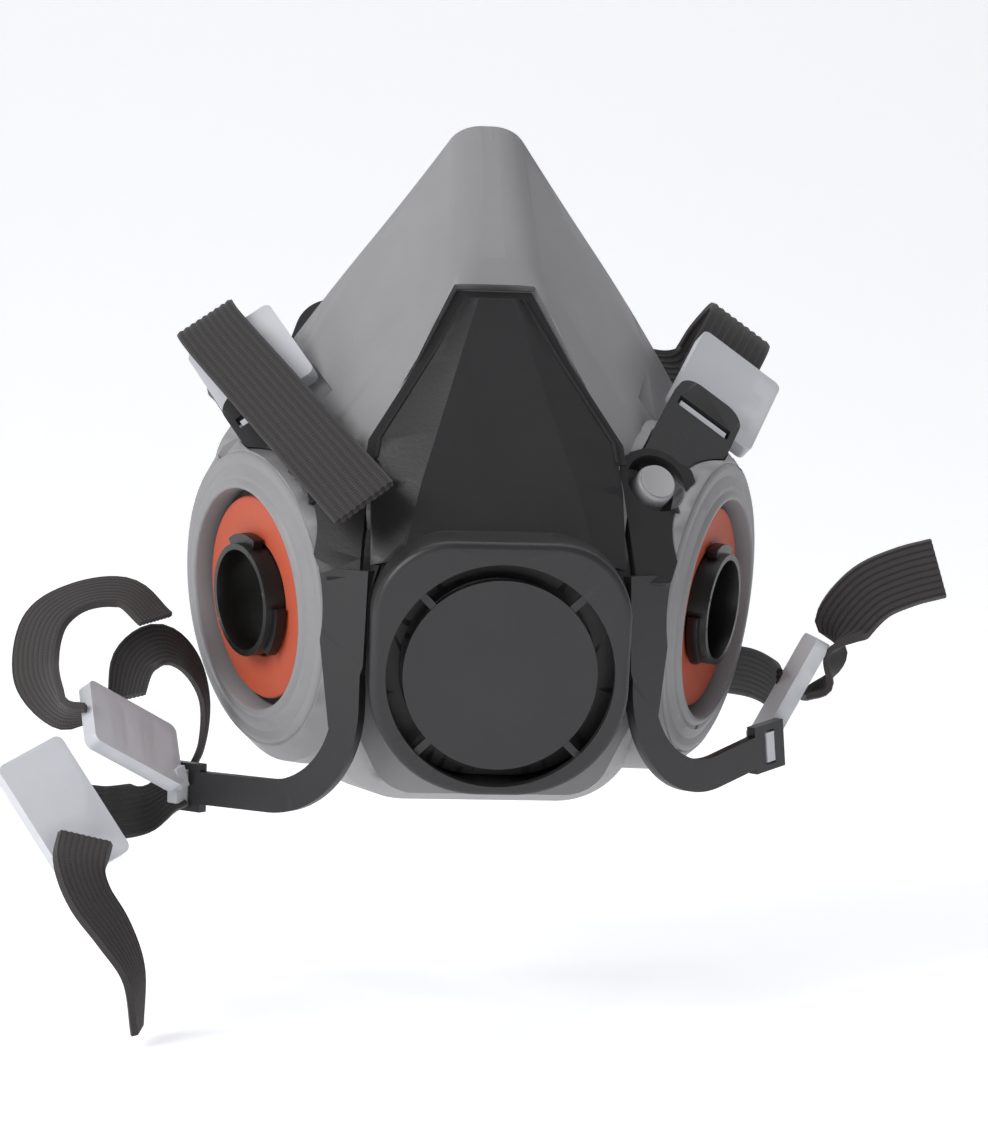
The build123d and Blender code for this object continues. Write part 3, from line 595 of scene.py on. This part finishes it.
for side, word in ((1, "right"), (-1, "left")):
    axis = mirrored(STUD_AXIS, side)
    bpy.ops.object.select_all(action="DESELECT")
    bpy.ops.mesh.primitive_cylinder_add(vertices=48, radius=BUTTON_RADIUS * MM, depth=BUTTON_HEIGHT * MM)
    button = bpy.context.object
    button.name = button.data.name = f"{word}_stud_button"
    bpy.ops.object.mode_set(mode="EDIT")
    bpy.ops.mesh.select_all(action="DESELECT")
    bpy.ops.object.mode_set(mode="OBJECT")
    for face in button.data.polygons:
        face.select = face.normal.z > 0.9
    bpy.ops.object.mode_set(mode="EDIT")
    bpy.ops.mesh.select_mode(type="FACE")
    bpy.ops.mesh.inset(thickness=BUTTON_RIM * MM)
    bpy.ops.transform.translate(value=(0, 0, -BUTTON_DIP * MM))
    bpy.ops.object.mode_set(mode="OBJECT")
    edge = button.modifiers.new("edge", "BEVEL")
    edge.width, edge.segments, edge.limit_method = BUTTON_EDGE * MM, 3, "ANGLE"
    bpy.ops.object.modifier_apply(modifier="edge")
    bpy.ops.object.shade_smooth_by_angle(angle=radians(35))
    head = (mirrored(STUD_CENTRE, side) + axis * (STUD_TOP + BUTTON_HEIGHT / 2 - BUTTON_SUNK)) * MM
    button.matrix_world = Matrix.Translation(head) @ axis.to_track_quat("Z", "Y").to_matrix().to_4x4()
    settle(button)
    button.data.materials.append(finishes["stud_plastic"])
    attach(button, "root")
    print(button.name, "at", [round(v / MM, 1) for v in head])

# %% [markdown]
# ## The cheek rings
# Round each inlet the casting has a thin raised lip, a shallow groove and a rounded outer band,
# which seal against a filter's back. They are crisper than the rest of the casting, so each ring
# is turned as a piece of its own: a circle is extruded and resized step by step along the ring's
# half section, as a potter's wheel would, and its last loop sinks into the cheek.

# %% Turn the cheek rings
PORT_CENTRE = Vector((46.5, -22.0, -20.3))
PORT_OUT, PORT_DOWN = radians(64.0), radians(6.0)
RING_SECTION = [
    # radius and height in front of the lip
    (21.9, -4.6), (21.9, 0.35), (22.2, 0.75), (22.8, 0.80), (23.3, 0.45), (24.0, -0.25), (25.2, -0.75),
    (26.8, -0.85), (27.9, -0.65), (28.6, -0.75), (29.1, -1.25), (29.2, -2.6),
]
RING_STEPS, RING_WALL = 128, 0.4


def turn_ring(name, section):
    """A ring of revolution along Z, from its half section in millimetres."""
    bpy.ops.object.select_all(action="DESELECT")
    radius, height = section[0]
    bpy.ops.mesh.primitive_circle_add(vertices=RING_STEPS, radius=radius * MM, location=(0, 0, height * MM))
    ring = bpy.context.object
    ring.name = ring.data.name = name
    bpy.ops.object.transform_apply(location=True)
    bpy.ops.object.mode_set(mode="EDIT")
    bpy.ops.mesh.select_mode(type="EDGE")
    bpy.ops.mesh.select_all(action="SELECT")
    for (before, low), (after, high) in zip(section, section[1:]):
        bpy.ops.mesh.extrude_edges_move(TRANSFORM_OT_translate={"value": (0, 0, (high - low) * MM)})
        grow = after / before
        bpy.ops.transform.resize(value=(grow, grow, 1), center_override=(0, 0, 0))
    bpy.ops.mesh.select_all(action="SELECT")
    bpy.ops.mesh.normals_make_consistent(inside=False)
    bpy.ops.object.mode_set(mode="OBJECT")
    return ring


def port_place(side):
    normal = Vector((side * sin(PORT_OUT) * cos(PORT_DOWN), -cos(PORT_OUT) * cos(PORT_DOWN), -sin(PORT_DOWN)))
    across = Vector((cos(PORT_OUT), side * sin(PORT_OUT), 0))
    turned = Matrix((across, normal.cross(across), normal)).transposed().to_4x4()
    return Matrix.Translation(mirrored(PORT_CENTRE, side) * MM) @ turned


for side, word in ((1, "right"), (-1, "left")):
    ring = turn_ring(f"{word}_cheek_ring", RING_SECTION)
    wall = ring.modifiers.new("wall", "SOLIDIFY")
    wall.thickness, wall.offset = RING_WALL * MM, -1.0
    bpy.ops.object.modifier_apply(modifier="wall")
    bpy.ops.object.shade_smooth_by_angle(angle=radians(60))
    ring.matrix_world = port_place(side)
    settle(ring)
    ring.data.materials.append(finishes["seal_rubber"])
    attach(ring, "root")
    print(ring.name, len(ring.data.polygons), "faces")

# %% [markdown]
# ## The frame's size
# The dressed mask has to stay the size of the frame; the frame's box is printed.

# %% Print the frame's box
import json

print("cad", [tuple(round(c / MM, 1) for c in v) for v in cad_box])
